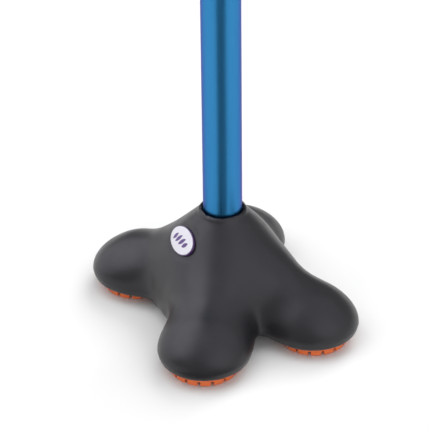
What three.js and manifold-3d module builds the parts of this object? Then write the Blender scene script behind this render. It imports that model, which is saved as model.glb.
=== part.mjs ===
// A quad walking cane: a soft four-footed base, a telescoping shaft with a spring button and a lock nut,
// and an offset handle. Millimetres, +Z up. The shaft's axis is the Z axis, the floor is z = 0, the handle's
// bend points to +X and the spring button faces -Y.
import * as THREE from "three";
import { mergeVertices } from "three/addons/utils/BufferGeometryUtils.js";
import Module from "manifold-3d";

const wasm = await Module();
wasm.setup();

// ---- driving dimensions ----
const GAP = 0.3; // left between pieces that rest on each other

const BASE = {
  footX: 41.3, // foot centres, from the shaft's axis
  footY: 29.2,
  footRadius: 21.8,
  footHalfHeight: 13.4,
  footCentreZ: 9.1,
  topZ: 59.5, // the lip round the shaft
  lipRadius: 11.5,
  bottomZ: 4.1, // the soles that the treads sit under
  cell: 5.6, // size of the facets
};
const COLUMN = { lowZ: 13.8, lowRadius: 34.3, highZ: 56.4, highRadius: 10.2 };
const LEG = {
  innerShare: 0.15, // how far along the way from the axis to the foot's centre
  innerZ: 31.5,
  innerRadius: 13.7,
  outerShare: 0.886,
  outerZ: 12.1,
  outerRadius: 16,
};
const ARCH = { centreZ: -4, radiusX: 30.8, radiusY: 28, height: 23.2 };
// how wide the forms melt together
const BLEND = { leg: 16.3, foot: 13.4, lip: 1.2, rim: 1.6, arch: 5, sole: 4 };

const SOCKET = { floorZ: 22, topZ: 50, wall: 2.5, mouthRadius: 10.3, mouthFlare: 0.3 };
const WASHER = { thickness: 1.6, radius: 9.3 };
const TREAD = {
  radius: 16.6,
  blockHeight: 2.3,
  slots: 16,
  slotWidth: 1.3,
  padRadius: 9.6, // the flat middle that the slots stop at
  chamfer: 0.7,
  studRadius: 5,
  studLength: 6,
};
const BADGE = {
  y: -21.9,
  z: 45.8,
  halfWidth: 10.7,
  halfHeight: 6.5,
  rim: 0.5,
  recess: 1.1,
  plate: 1.8,
  dome: 0.9,
  bulge: 0.4,
};

const LOWER_TUBE = { radius: 9.5, wall: 1.2, topZ: 478 };
const UPPER_TUBE = { radius: 11.1, wall: 1.2, bottomZ: 300 };
const BUTTON = { radius: 3.1, flangeRadius: 3.6, flangeY: 6.8, flangeThickness: 1, tipY: 13.6 };
const HOLES = { count: 13, pitch: 19.05, atRest: 6, radius: 3.5, buttonZ: 451 };
const SPRING = { width: 5.6, thickness: 0.6, armLength: 24, farY: 7 };
const BUSH = { length: 6, spigot: 10 };
const COLLAR = { grip: 18, fingers: 14, wall: 1.6, slits: 4, slitWidth: 1.2 };
const NUT = { wall: 2.9, lip: 3.2, lobes: 10, lobeRadius: 2.6, lobeDepth: 0.9 };
const WIPER = { thickness: 2, width: 2.6 };
const HANDLE = {
  topZ: 838, // top of the grip above the floor
  lean: 55, // degrees that the neck leans forward
  lowerBendRadius: 45,
  neckLength: 50,
  upperBendRadius: 26,
  gripRadius: 15.6,
  gripSwell: 1.6,
  gripLength: 116,
  ringLength: 4,
  capLength: 4.4,
  spigot: 16,
};
const TUBE_SIDES = 24;

// ---- materials ----
const finish = (color, roughness, metalness) =>
  new THREE.MeshStandardMaterial({ color, roughness, metalness });
const MATERIALS = {
  rubber: finish(0x3b3b3e, 0.62, 0),
  tread: finish(0xe8622a, 0.6, 0),
  blueAluminium: finish(0x2a78b8, 0.3, 0.9),
  steel: finish(0xb9bcc0, 0.32, 1),
  nylon: finish(0xc9c8c2, 0.5, 0),
  blackPlastic: finish(0x1c1c1e, 0.45, 0),
  badgePlate: finish(0x3a2352, 0.35, 0),
  badgeDome: finish(0xeceaf4, 0.15, 0),
  grip: finish(0x242426, 0.85, 0),
};

// ---- solids ----
function solidOf(geometry) {
  const bare = geometry.index ? geometry.toNonIndexed() : geometry.clone();
  bare.deleteAttribute("normal");
  bare.deleteAttribute("uv");
  const merged = mergeVertices(bare, 1e-4);
  const triVerts = new Uint32Array(merged.index.array);
  const build = () => new wasm.Manifold(new wasm.Mesh({
    numProp: 3,
    vertProperties: merged.attributes.position.array,
    triVerts,
  }));
  const solid = build();
  if (solid.volume() > 0) return solid;
  for (let i = 0; i < triVerts.length; i += 3) {
    [triVerts[i + 1], triVerts[i + 2]] = [triVerts[i + 2], triVerts[i + 1]];
  }
  return build();
}

function geometryOf(solid) {
  const mesh = solid.getMesh();
  const geometry = new THREE.BufferGeometry();
  geometry.setAttribute("position", new THREE.BufferAttribute(mesh.vertProperties, 3));
  geometry.setIndex(new THREE.BufferAttribute(mesh.triVerts, 1));
  geometry.computeVertexNormals();
  return geometry;
}

const cut = (geometry, ...tools) =>
  geometryOf(tools.reduce((solid, tool) => solid.subtract(solidOf(tool)), solidOf(geometry)));
const join = (geometry, ...others) =>
  geometryOf(others.reduce((solid, other) => solid.add(solidOf(other)), solidOf(geometry)));

// A turned piece: its profile is a list of [radius, z], and its axis is the Z axis.
function turned(profile, sides = TUBE_SIDES) {
  const points = profile.map(([radius, z]) => new THREE.Vector2(radius, z));
  const geometry = new THREE.LatheGeometry(points, sides).rotateX(Math.PI / 2);
  return geometryOf(solidOf(geometry));
}

// The profile of a ring or tube between two radii and two heights.
const ringProfile = (inner, outer, low, high) =>
  [[inner, low], [outer, low], [outer, high], [inner, high], [inner, low]];

const rod = (radius, length, sides = 16) => new THREE.CylinderGeometry(radius, radius, length, sides);

// ---- the base's form, as a distance field: negative inside ----
function smoothMin(a, b, width) {
  const h = THREE.MathUtils.clamp(0.5 + (0.5 * (b - a)) / width, 0, 1);
  return b + (a - b) * h - width * h * (1 - h);
}
const smoothMax = (a, b, width) => -smoothMin(-a, -b, width);

// Two balls of different sizes and the cone that wraps them.
function roundCone(p, a, b, radiusA, radiusB) {
  const axis = b.clone().sub(a);
  const length2 = axis.lengthSq();
  const taper = radiusA - radiusB;
  const slope = length2 - taper * taper;
  const fromA = p.clone().sub(a);
  const along = fromA.dot(axis);
  const beyond = along - length2;
  const across2 = fromA.multiplyScalar(length2).addScaledVector(axis, -along).lengthSq();
  const limit = Math.sign(taper) * taper * taper * across2;
  if (Math.sign(beyond) * slope * beyond * beyond * length2 > limit) {
    return Math.sqrt(across2 + beyond * beyond * length2) / length2 - radiusB;
  }
  if (Math.sign(along) * slope * along * along * length2 < limit) {
    return Math.sqrt(across2 + along * along * length2) / length2 - radiusA;
  }
  return (Math.sqrt((across2 * slope) / length2) + along * taper) / length2 - radiusA;
}

function ellipsoid(p, centre, radii) {
  const q = p.clone().sub(centre).divide(radii);
  const scaled = q.length();
  const gradient = q.divide(radii).length();
  return (scaled * (scaled - 1)) / Math.max(gradient, 1e-9);
}

const FEET = [[1, 1], [1, -1], [-1, 1], [-1, -1]].map(([sx, sy]) => ({
  name: `${sx > 0 ? "front" : "back"}_${sy > 0 ? "left" : "right"}`,
  x: sx * BASE.footX,
  y: sy * BASE.footY,
}));
const FOOT_RADII = new THREE.Vector3(BASE.footRadius, BASE.footRadius, BASE.footHalfHeight);
const ARCH_CENTRE = new THREE.Vector3(0, 0, ARCH.centreZ);
const ARCH_RADII = new THREE.Vector3(ARCH.radiusX, ARCH.radiusY, ARCH.height);

function baseField(p) {
  const foot = new THREE.Vector3();
  const inner = new THREE.Vector3();
  const outer = new THREE.Vector3();
  inner.set(0, 0, COLUMN.lowZ);
  outer.set(0, 0, COLUMN.highZ);
  let d = roundCone(p, inner, outer, COLUMN.lowRadius, COLUMN.highRadius);
  for (const { x, y } of FEET) {
    inner.set(x * LEG.innerShare, y * LEG.innerShare, LEG.innerZ);
    outer.set(x * LEG.outerShare, y * LEG.outerShare, LEG.outerZ);
    d = smoothMin(d, roundCone(p, inner, outer, LEG.innerRadius, LEG.outerRadius), BLEND.leg);
  }
  for (const { x, y } of FEET) {
    foot.set(x, y, BASE.footCentreZ);
    d = smoothMin(d, ellipsoid(p, foot, FOOT_RADII), BLEND.foot);
  }
  d = smoothMin(d, Math.hypot(p.x, p.y) - BASE.lipRadius, BLEND.lip);
  d = smoothMax(d, p.z - BASE.topZ, BLEND.rim);
  d = smoothMax(d, -ellipsoid(p, ARCH_CENTRE, ARCH_RADII), BLEND.arch);
  return smoothMax(d, BASE.bottomZ - p.z, BLEND.sole);
}

function fieldSlope(field, p) {
  const h = 0.01;
  const slope = new THREE.Vector3();
  for (const axis of ["x", "y", "z"]) {
    const high = p.clone();
    const low = p.clone();
    high[axis] += h;
    low[axis] -= h;
    slope[axis] = (field(high) - field(low)) / (2 * h);
  }
  return slope;
}

function dropOnto(field, p, steps = 6) {
  for (let i = 0; i < steps; i++) {
    const slope = fieldSlope(field, p);
    p.addScaledVector(slope, -field(p) / Math.max(slope.lengthSq(), 0.1));
  }
  return p;
}

// The surface where a field is zero: one vertex in each cell that it crosses, and one square
// across each edge of the grid that it crosses.
function surfaceOf(field, box, cell) {
  const size = box.getSize(new THREE.Vector3());
  const [nx, ny, nz] = size.toArray().map((s) => Math.ceil(s / cell) + 1);
  const index = (i, j, k) => (k * ny + j) * nx + i;
  const point = (i, j, k) => new THREE.Vector3(i, j, k).multiplyScalar(cell).add(box.min);
  const values = new Float32Array(nx * ny * nz);
  for (let k = 0; k < nz; k++) {
    for (let j = 0; j < ny; j++) {
      for (let i = 0; i < nx; i++) values[index(i, j, k)] = field(point(i, j, k));
    }
  }
  const corners = [0, 1].flatMap((k) => [0, 1].flatMap((j) => [0, 1].map((i) => [i, j, k])));
  const edges = corners.flatMap((a, n) => corners.slice(n + 1)
    .filter((b) => a.reduce((sum, v, axis) => sum + Math.abs(v - b[axis]), 0) === 1)
    .map((b) => [a, b]));
  const vertexOf = new Map();
  const positions = [];
  for (let k = 0; k < nz - 1; k++) {
    for (let j = 0; j < ny - 1; j++) {
      for (let i = 0; i < nx - 1; i++) {
        const crossings = [];
        for (const [a, b] of edges) {
          const va = values[index(i + a[0], j + a[1], k + a[2])];
          const vb = values[index(i + b[0], j + b[1], k + b[2])];
          if (va < 0 === vb < 0) continue;
          const start = point(i + a[0], j + a[1], k + a[2]);
          crossings.push(start.lerp(point(i + b[0], j + b[1], k + b[2]), va / (va - vb)));
        }
        if (!crossings.length) continue;
        const mean = crossings.reduce((sum, c) => sum.add(c), new THREE.Vector3());
        dropOnto(field, mean.divideScalar(crossings.length));
        vertexOf.set(index(i, j, k), positions.length / 3);
        positions.push(...mean.toArray());
      }
    }
  }
  const triangles = [];
  const steps = [[1, 0, 0], [0, 1, 0], [0, 0, 1]];
  for (let k = 1; k < nz - 1; k++) {
    for (let j = 1; j < ny - 1; j++) {
      for (let i = 1; i < nx - 1; i++) {
        steps.forEach((step, axis) => {
          const inside = values[index(i, j, k)] < 0;
          if (inside === values[index(i + step[0], j + step[1], k + step[2])] < 0) return;
          const u = steps[(axis + 1) % 3];
          const v = steps[(axis + 2) % 3];
          const around = [[0, 0], [1, 0], [1, 1], [0, 1]].map(([p, q]) =>
            vertexOf.get(index(i - p * u[0] - q * v[0], j - p * u[1] - q * v[1], k - p * u[2] - q * v[2])));
          const [a, b, c, d] = inside ? around : around.reverse();
          triangles.push(a, b, c, a, c, d);
        });
      }
    }
  }
  const geometry = new THREE.BufferGeometry();
  geometry.setAttribute("position", new THREE.Float32BufferAttribute(positions, 3));
  geometry.setIndex(triangles);
  return geometry;
}

// ---- the object ----
const cane = new THREE.Group();

function piece(name, geometry, material, group = cane) {
  const mesh = new THREE.Mesh(geometry, MATERIALS[material]);
  mesh.name = name;
  group.add(mesh);
  return mesh;
}

// ---- the base ----
const sleeveRadius = LOWER_TUBE.radius + GAP + SOCKET.wall;
const washerZ = SOCKET.floorZ + GAP;
const tubeBottomZ = washerZ + WASHER.thickness + GAP;

function socketCutter() {
  const { floorZ, topZ, mouthRadius, mouthFlare } = SOCKET;
  const flare = [0, 1, 2, 3].map((step) => {
    const turn = (step / 3) * (Math.PI / 2);
    return [
      mouthRadius + mouthFlare * (1 - Math.cos(turn)),
      BASE.topZ - mouthFlare + mouthFlare * Math.sin(turn),
    ];
  });
  return turned([
    [0, floorZ],
    [sleeveRadius + GAP, floorZ],
    [sleeveRadius + GAP, topZ + GAP],
    [mouthRadius, topZ + GAP],
    ...flare,
    [mouthRadius + mouthFlare, BASE.topZ + 5],
    [0, BASE.topZ + 5],
  ]);
}

// The badge lies on the base's right flank. Its group's +Z is the way that the badge faces, and
// its +X runs level along the flank.
function badgeGroup() {
  const centre = dropOnto(baseField, new THREE.Vector3(0, BADGE.y, BADGE.z));
  const out = fieldSlope(baseField, centre).normalize();
  const level = new THREE.Vector3(0, 0, 1).cross(out).normalize();
  const up = out.clone().cross(level);
  const group = new THREE.Group();
  group.position.copy(centre);
  group.quaternion.setFromRotationMatrix(new THREE.Matrix4().makeBasis(level, up, out));
  cane.add(group);
  return group;
}

function oval(halfWidth, halfHeight, low, high, bulge = 0) {
  const outline = new THREE.Shape().absellipse(0, 0, halfWidth, halfHeight, 0, 2 * Math.PI);
  const inset = bulge * 1.6;
  const shape = new THREE.ExtrudeGeometry(outline, {
    depth: high - low - 2 * bulge,
    curveSegments: 12,
    bevelEnabled: bulge > 0,
    bevelThickness: bulge,
    bevelSize: inset,
    bevelOffset: -inset,
    bevelSegments: 2,
  });
  return geometryOf(solidOf(shape.translate(0, 0, low + bulge)));
}

const badge = badgeGroup();
badge.updateMatrixWorld(true);
const badgeRecess = oval(BADGE.halfWidth + GAP, BADGE.halfHeight + GAP, -BADGE.recess - GAP, 8);
badgeRecess.applyMatrix4(badge.matrixWorld);

const stud = TREAD.studLength + 2 * GAP;
const studHoles = FEET.map(({ x, y }) =>
  rod(TREAD.studRadius + GAP, stud).rotateX(Math.PI / 2).translate(x, y, BASE.bottomZ + stud / 2 - GAP));
const reach = new THREE.Vector3(BASE.footX + BASE.footRadius, BASE.footY + BASE.footRadius, 0);
const baseBox = new THREE.Box3(
  reach.clone().negate(),
  reach.clone().setZ(BASE.topZ),
).expandByScalar(2 * BASE.cell);
piece(
  "base_body",
  cut(surfaceOf(baseField, baseBox, BASE.cell), socketCutter(), badgeRecess, ...studHoles),
  "rubber",
);
piece(
  "socket_sleeve",
  turned(ringProfile(LOWER_TUBE.radius + GAP, sleeveRadius, SOCKET.floorZ + GAP, SOCKET.topZ)),
  "nylon",
);
piece("socket_washer", turned([
  [0, washerZ],
  [WASHER.radius, washerZ],
  [WASHER.radius, washerZ + WASHER.thickness],
  [0, washerZ + WASHER.thickness],
]), "steel");

function treadGeometry() {
  const { radius, blockHeight, padRadius, chamfer, studRadius, studLength } = TREAD;
  const topZ = BASE.bottomZ - GAP;
  const disc = turned([
    [0, 0],
    [radius - chamfer, 0],
    [radius, chamfer],
    [radius, topZ],
    [studRadius, topZ],
    [studRadius, topZ + studLength],
    [0, topZ + studLength],
  ], 32);
  const slotLength = 2 * radius;
  const slots = Array.from({ length: TREAD.slots / 2 }, (_, i) =>
    new THREE.BoxGeometry(slotLength + 4, TREAD.slotWidth, 2 * blockHeight)
      .rotateZ(((i + 0.5) * 2 * Math.PI) / TREAD.slots));
  const kept = rod(padRadius, 4 * blockHeight).rotateX(Math.PI / 2);
  return cut(disc, cut(join(...slots), kept));
}

for (const { name, x, y } of FEET) {
  piece(`tread_${name}`, treadGeometry(), "tread").position.set(x, y, 0);
}

const plateTop = BADGE.plate - BADGE.recess;
piece(
  "badge_plate",
  oval(BADGE.halfWidth, BADGE.halfHeight, -BADGE.recess, plateTop),
  "badgePlate",
  badge,
);
piece(
  "badge_dome",
  oval(
    BADGE.halfWidth - BADGE.rim,
    BADGE.halfHeight - BADGE.rim,
    plateTop + GAP,
    plateTop + GAP + BADGE.dome,
    BADGE.bulge,
  ),
  "badgeDome",
  badge,
);

// ---- the shaft ----
// A hole or rod across the shaft, from the button's side inwards.
const crossRod = (radius, from, to, z, sides = 12) =>
  rod(radius, to - from, sides).translate(0, -(from + to) / 2, z);

const lowerBore = LOWER_TUBE.radius - LOWER_TUBE.wall;
const upperBore = UPPER_TUBE.radius - UPPER_TUBE.wall;

piece(
  "lower_tube",
  cut(
    turned(ringProfile(lowerBore, LOWER_TUBE.radius, tubeBottomZ, LOWER_TUBE.topZ)),
    crossRod(HOLES.radius, 5, LOWER_TUBE.radius + 2, HOLES.buttonZ),
  ),
  "blueAluminium",
);
piece("lower_tube_bush", turned([
  [4, LOWER_TUBE.topZ - BUSH.spigot],
  [lowerBore - GAP, LOWER_TUBE.topZ - BUSH.spigot],
  [lowerBore - GAP, LOWER_TUBE.topZ + GAP],
  [LOWER_TUBE.radius + 0.1, LOWER_TUBE.topZ + GAP],
  [LOWER_TUBE.radius + 0.1, LOWER_TUBE.topZ + BUSH.length],
  [4, LOWER_TUBE.topZ + BUSH.length],
  [4, LOWER_TUBE.topZ - BUSH.spigot],
]), "nylon");

// The button's head is domed and its flange sits behind the lower tube's wall.
function buttonGeometry() {
  const { radius, flangeRadius, flangeY, flangeThickness, tipY } = BUTTON;
  const dome = 1.1;
  return turned([
    [0, flangeY - flangeThickness],
    [flangeRadius, flangeY - flangeThickness],
    [flangeRadius, flangeY],
    [radius, flangeY],
    [radius, tipY - dome],
    [radius * 0.8, tipY - dome * 0.4],
    [radius * 0.4, tipY - dome * 0.06],
    [0, tipY],
  ], 16).rotateX(Math.PI / 2);
}
piece("snap_button", buttonGeometry(), "steel").position.z = HOLES.buttonZ;

// A bend of the tube's centre line in a plane. heading is the angle from +Z towards the plane's
// sideways axis, and turn is how far the heading changes.
class Bend extends THREE.Curve {
  constructor(start, sideways, heading, turn, radius) {
    super();
    Object.assign(this, { start, sideways, heading, turn, radius });
  }
  getPoint(t, target = new THREE.Vector3()) {
    const { start, sideways, heading, turn, radius } = this;
    const signed = radius * Math.sign(turn);
    const now = heading + turn * t;
    target.copy(start).addScaledVector(sideways, signed * (Math.cos(heading) - Math.cos(now)));
    target.z += signed * (Math.sin(now) - Math.sin(heading));
    return target;
  }
}

// A centre line of straights and bends, each walked in its own number of steps.
class SteppedPath extends THREE.Curve {
  constructor(start, sideways, heading) {
    super();
    Object.assign(this, { end: start, sideways, heading, pieces: [], steps: 0 });
  }
  add(curve, steps) {
    this.pieces.push({ curve, first: this.steps, steps });
    this.steps += steps;
    this.end = curve.getPoint(1);
    return this;
  }
  straight(length) {
    const along = this.sideways.clone().multiplyScalar(Math.sin(this.heading));
    along.z = Math.cos(this.heading);
    return this.add(new THREE.LineCurve3(this.end, this.end.clone().addScaledVector(along, length)), 1);
  }
  bend(degrees, radius, steps) {
    const turn = THREE.MathUtils.degToRad(degrees);
    const curve = new Bend(this.end, this.sideways, this.heading, turn, radius);
    this.heading += turn;
    return this.add(curve, steps);
  }
  getPoint(t, target = new THREE.Vector3()) {
    const walked = t * this.steps;
    const here = this.pieces.findLast((p) => p.first <= walked + 1e-6);
    return here.curve.getPoint(Math.min((walked - here.first) / here.steps, 1), target);
  }
  getPointAt(u, target) {
    return this.getPoint(u, target);
  }
  getTangentAt(u, target = new THREE.Vector3()) {
    const walked = u * this.steps;
    const here = this.pieces.findLast((p) => p.first <= walked + 1e-6);
    return here.curve.getTangent(Math.min((walked - here.first) / here.steps, 1), target);
  }
}

const along = (path, section, curveSegments) => {
  const swept = new THREE.ExtrudeGeometry(section, { steps: path.steps, extrudePath: path, curveSegments });
  return geometryOf(solidOf(swept));
};

// The V-shaped leaf spring behind the button: down from the button, round the bend and up the far wall.
const { flangeY, flangeThickness } = BUTTON;
const springY = flangeY - flangeThickness - GAP - SPRING.thickness / 2;
const springPath = new SteppedPath(
  new THREE.Vector3(0, -springY, HOLES.buttonZ + BUTTON.flangeRadius),
  new THREE.Vector3(0, 1, 0),
  Math.PI,
)
  .straight(SPRING.armLength)
  .bend(-180, (springY + SPRING.farY) / 2, 8)
  .straight(SPRING.armLength);
const strip = new THREE.Shape([[-1, -1], [1, -1], [1, 1], [-1, 1]].map(([x, y]) =>
  new THREE.Vector2((x * SPRING.width) / 2, (y * SPRING.thickness) / 2)));
piece("snap_spring", along(springPath, strip), "steel");

// The upper tube runs up the shaft and bends into the offset handle.
const handleLean = THREE.MathUtils.degToRad(HANDLE.lean);
const gripZ = HANDLE.topZ - HANDLE.gripRadius - HANDLE.gripSwell;
const neckRise =
  HANDLE.lowerBendRadius * Math.sin(handleLean) +
  HANDLE.neckLength * Math.cos(handleLean) +
  HANDLE.upperBendRadius * (Math.sin(handleLean) + 1);
const neckPath = new SteppedPath(
  new THREE.Vector3(0, 0, UPPER_TUBE.bottomZ),
  new THREE.Vector3(1, 0, 0),
  0,
)
  .straight(gripZ - neckRise - UPPER_TUBE.bottomZ)
  .bend(HANDLE.lean, HANDLE.lowerBendRadius, 6)
  .straight(HANDLE.neckLength)
  .bend(-HANDLE.lean - 90, HANDLE.upperBendRadius, 12);
const ringFrontX = neckPath.end.x - 3;
const gripFrontX = ringFrontX - HANDLE.ringLength - GAP;
const gripBackX = gripFrontX - HANDLE.gripLength;
neckPath.straight(neckPath.end.x - gripBackX - GAP);

const wall = new THREE.Shape().absarc(0, 0, UPPER_TUBE.radius, 0, 2 * Math.PI);
wall.holes.push(new THREE.Path().absarc(0, 0, upperBore, 0, 2 * Math.PI));
const adjustHoles = Array.from({ length: HOLES.count }, (_, i) =>
  crossRod(HOLES.radius, 5, UPPER_TUBE.radius + 2, HOLES.buttonZ + (i - HOLES.atRest) * HOLES.pitch));
piece("upper_tube", cut(along(neckPath, wall, TUBE_SIDES / 2), ...adjustHoles), "blueAluminium");

// ---- the lock nut and the split ferrule that it closes on the lower tube ----
const collarInner = UPPER_TUBE.radius + GAP;
const collarOuter = collarInner + COLLAR.wall;
const fingerRadius = LOWER_TUBE.radius + GAP;
const tubeEndZ = UPPER_TUBE.bottomZ;
const fingerZ = tubeEndZ - COLLAR.fingers;
const ferrule = turned([
  [fingerRadius, fingerZ],
  [collarOuter - 1.2, fingerZ],
  [collarOuter, fingerZ + 5],
  [collarOuter, tubeEndZ + COLLAR.grip],
  [collarInner, tubeEndZ + COLLAR.grip],
  [collarInner, tubeEndZ - GAP],
  [fingerRadius, tubeEndZ - GAP],
  [fingerRadius, fingerZ],
]);
const slits = Array.from({ length: COLLAR.slits / 2 }, (_, i) =>
  new THREE.BoxGeometry(4 * collarOuter, COLLAR.slitWidth, COLLAR.fingers)
    .rotateZ(((i + 0.5) * 2 * Math.PI) / COLLAR.slits)
    .translate(0, 0, fingerZ + COLLAR.fingers / 2 - 2.5));
piece("collar_ferrule", cut(ferrule, ...slits), "nylon");

const nutInner = collarOuter + GAP;
const nutOuter = nutInner + NUT.wall;
const wiperTopZ = fingerZ - GAP;
const nutFloorZ = wiperTopZ - WIPER.thickness - GAP;
const nutBottomZ = nutFloorZ - NUT.lip;
const nutTopZ = tubeEndZ + COLLAR.grip + 1;
const nutBlank = turned([
  [fingerRadius, nutBottomZ],
  [nutOuter - 1.5, nutBottomZ],
  [nutOuter, nutBottomZ + 1.5],
  [nutOuter, nutTopZ - 2.5],
  [nutInner + 1, nutTopZ],
  [nutInner, nutTopZ],
  [nutInner, nutFloorZ],
  [fingerRadius, nutFloorZ],
  [fingerRadius, nutBottomZ],
], 40);
const nutLength = nutTopZ - nutBottomZ;
const flutes = Array.from({ length: NUT.lobes }, (_, i) =>
  rod(NUT.lobeRadius, nutLength - 8, 8)
    .rotateX(Math.PI / 2)
    .translate(nutOuter + NUT.lobeRadius - NUT.lobeDepth, 0, (nutBottomZ + nutTopZ) / 2)
    .rotateZ((i * 2 * Math.PI) / NUT.lobes));
piece("lock_nut", cut(nutBlank, ...flutes), "blackPlastic");

piece("collar_wiper_ring", turned(ringProfile(
  LOWER_TUBE.radius + 0.1,
  LOWER_TUBE.radius + WIPER.width,
  wiperTopZ - WIPER.thickness,
  wiperTopZ,
)), "rubber");

// ---- the hand grip, turned about the handle's level run ----
const gripBore = UPPER_TUBE.radius + GAP;
const gripStations = [0, 0.04, 0.25, 0.5, 0.75, 0.96, 1];
const gripProfile = gripStations.map((share) => {
  const end = share === 0 || share === 1;
  const swell = HANDLE.gripSwell * Math.sin(Math.PI * share) ** 2;
  return [HANDLE.gripRadius - (end ? 2.4 : 0) + swell, share * HANDLE.gripLength];
});
piece(
  "hand_grip",
  turned([[gripBore, 0], ...gripProfile, [gripBore, HANDLE.gripLength], [gripBore, 0]]).rotateY(-Math.PI / 2),
  "grip",
).position.set(gripFrontX, 0, gripZ);

piece("grip_front_ring", turned([
  [gripBore, 0],
  [HANDLE.gripRadius - 2.6, 0],
  [HANDLE.gripRadius - 1.2, 1.4],
  [HANDLE.gripRadius - 1.2, HANDLE.ringLength],
  [gripBore, HANDLE.ringLength],
  [gripBore, 0],
]).rotateY(-Math.PI / 2), "blackPlastic").position.set(ringFrontX, 0, gripZ);

const spigotRadius = upperBore - 0.4;
piece("grip_end_cap", turned([
  [0, -HANDLE.spigot],
  [spigotRadius, -HANDLE.spigot],
  [spigotRadius, GAP],
  [HANDLE.gripRadius - 2, GAP],
  [HANDLE.gripRadius - 2, HANDLE.capLength - 2.4],
  [HANDLE.gripRadius - 4.4, HANDLE.capLength - 0.6],
  [0, HANDLE.capLength],
]).rotateY(-Math.PI / 2), "blackPlastic").position.set(gripBackX, 0, gripZ);

export default cane;
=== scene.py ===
"""A quad walking cane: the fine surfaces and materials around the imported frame. Lengths are in millimetres,
as in the design, until a mesh is made."""

import math

import bpy
import numpy as np
from mathutils import Matrix, Vector


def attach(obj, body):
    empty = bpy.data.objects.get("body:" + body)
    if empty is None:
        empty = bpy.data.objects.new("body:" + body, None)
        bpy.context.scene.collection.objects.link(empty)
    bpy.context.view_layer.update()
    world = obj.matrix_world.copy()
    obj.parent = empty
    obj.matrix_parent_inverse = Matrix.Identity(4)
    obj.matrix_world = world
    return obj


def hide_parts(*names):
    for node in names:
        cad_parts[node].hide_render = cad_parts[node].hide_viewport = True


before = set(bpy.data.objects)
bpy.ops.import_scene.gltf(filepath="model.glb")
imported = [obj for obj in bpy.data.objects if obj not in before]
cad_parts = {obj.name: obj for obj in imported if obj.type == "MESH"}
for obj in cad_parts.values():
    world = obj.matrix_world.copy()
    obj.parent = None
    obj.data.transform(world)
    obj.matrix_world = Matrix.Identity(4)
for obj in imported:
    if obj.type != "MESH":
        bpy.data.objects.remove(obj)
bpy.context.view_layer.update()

# ---- dimensions ----
MM = 0.001
GAP = 0.3  # between pieces that rest on each other
FOOT_X, FOOT_Y = 41.3, 29.2
FOOT_RADII = np.array([21.8, 21.8, 13.4])
FOOT_CENTRE_Z = 9.1
COLUMN_LOW, COLUMN_HIGH = np.array([0, 0, 13.8]), np.array([0, 0, 56.4])
COLUMN_LOW_RADIUS, COLUMN_HIGH_RADIUS = 34.3, 10.2
LEG_INNER_SHARE, LEG_INNER_Z, LEG_INNER_RADIUS = 0.15, 31.5, 13.7
LEG_OUTER_SHARE, LEG_OUTER_Z, LEG_OUTER_RADIUS = 0.886, 12.1, 16.0
ARCH_CENTRE, ARCH_RADII = np.array([0, 0, -4.0]), np.array([30.8, 28.0, 23.2])
LEG_BLEND, FOOT_BLEND, LIP_BLEND, RIM_BLEND, ARCH_BLEND, SOLE_BLEND = 16.3, 13.4, 1.2, 1.6, 5, 4
PARTING_STEP = 0.3
LIP_Z, LIP_RADIUS = 59.5, 11.4
MOUTH_RADIUS, MOUTH_BLEND = 9.8, 1.8
DIMPLE_MARGIN, DIMPLE_DEPTH, DIMPLE_BLEND = 1.4, 0.75, 1.6
SOLE_Z = 4.1
SOCKET_FLOOR_Z, SOCKET_TOP_Z, SLEEVE_RADIUS = 22.0, 50.0, 12.3
TREAD_RADIUS, TREAD_SLOTS, SLOT_WIDTH, SLOT_DEPTH, PAD_RADIUS = 16.6, 16, 1.3, 2.3, 9.6
SOLE_ROUND = 0.7
STUD_RADIUS, STUD_LENGTH = 5.0, 6.0
BADGE_Y, BADGE_Z, BADGE_HALF_WIDTH, BADGE_HALF_HEIGHT = -21.9, 45.8, 10.7, 6.5
LOWER_RADIUS, UPPER_RADIUS, TUBE_WALL = 9.5, 11.1, 1.2
LOWER_BOTTOM_Z, LOWER_TOP_Z, UPPER_BOTTOM_Z = 24.2, 478.0, 300.0
BUTTON_Z, HOLE_PITCH, HOLE_RADIUS, HOLES_EACH_WAY = 451.0, 19.05, 3.5, 6
BUTTON_RADIUS, FLANGE_RADIUS, FLANGE_Y, BUTTON_TIP_Y = 3.1, 3.6, 6.8, 13.6
COLLAR_GRIP, COLLAR_FINGERS, COLLAR_WALL = 18.0, 14.0, 1.6
NUT_WALL, NUT_LIP, NUT_FLUTES, WIPER_THICKNESS = 2.9, 3.2, 10, 2.0
NECK_LEAN, NECK_LENGTH, LOWER_BEND_RADIUS, UPPER_BEND_RADIUS = math.radians(55), 50.0, 45.0, 26.0
HANDLE_TOP_Z, GRIP_RADIUS, GRIP_SWELL, GRIP_LENGTH = 838.0, 15.6, 1.6, 116.0
RING_LENGTH, CAP_LENGTH, CAP_SPIGOT = 4.0, 4.4, 16.0
GRIP_Z = HANDLE_TOP_Z - GRIP_RADIUS - GRIP_SWELL
FEET = {
    "front_left": (FOOT_X, FOOT_Y),
    "front_right": (FOOT_X, -FOOT_Y),
    "back_left": (-FOOT_X, FOOT_Y),
    "back_right": (-FOOT_X, -FOOT_Y),
}


# ---- meshes ----
def add_object(name, points, faces, sharp=None, matrix=None):
    """A smooth mesh object from points in millimetres. Edges sharper than sharp degrees stay sharp."""
    points = np.asarray(points, float) * MM
    if matrix is not None:
        points = points @ np.array(matrix.to_3x3()).T + np.array(matrix.translation) * MM
    mesh = bpy.data.meshes.new(name)
    mesh.from_pydata(points.tolist(), [], [tuple(map(int, face)) for face in faces])
    mesh.shade_smooth()
    if sharp:
        mesh.set_sharp_from_angle(angle=math.radians(sharp))
    obj = bpy.data.objects.new(name, mesh)
    bpy.context.collection.objects.link(obj)
    return obj


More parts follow.
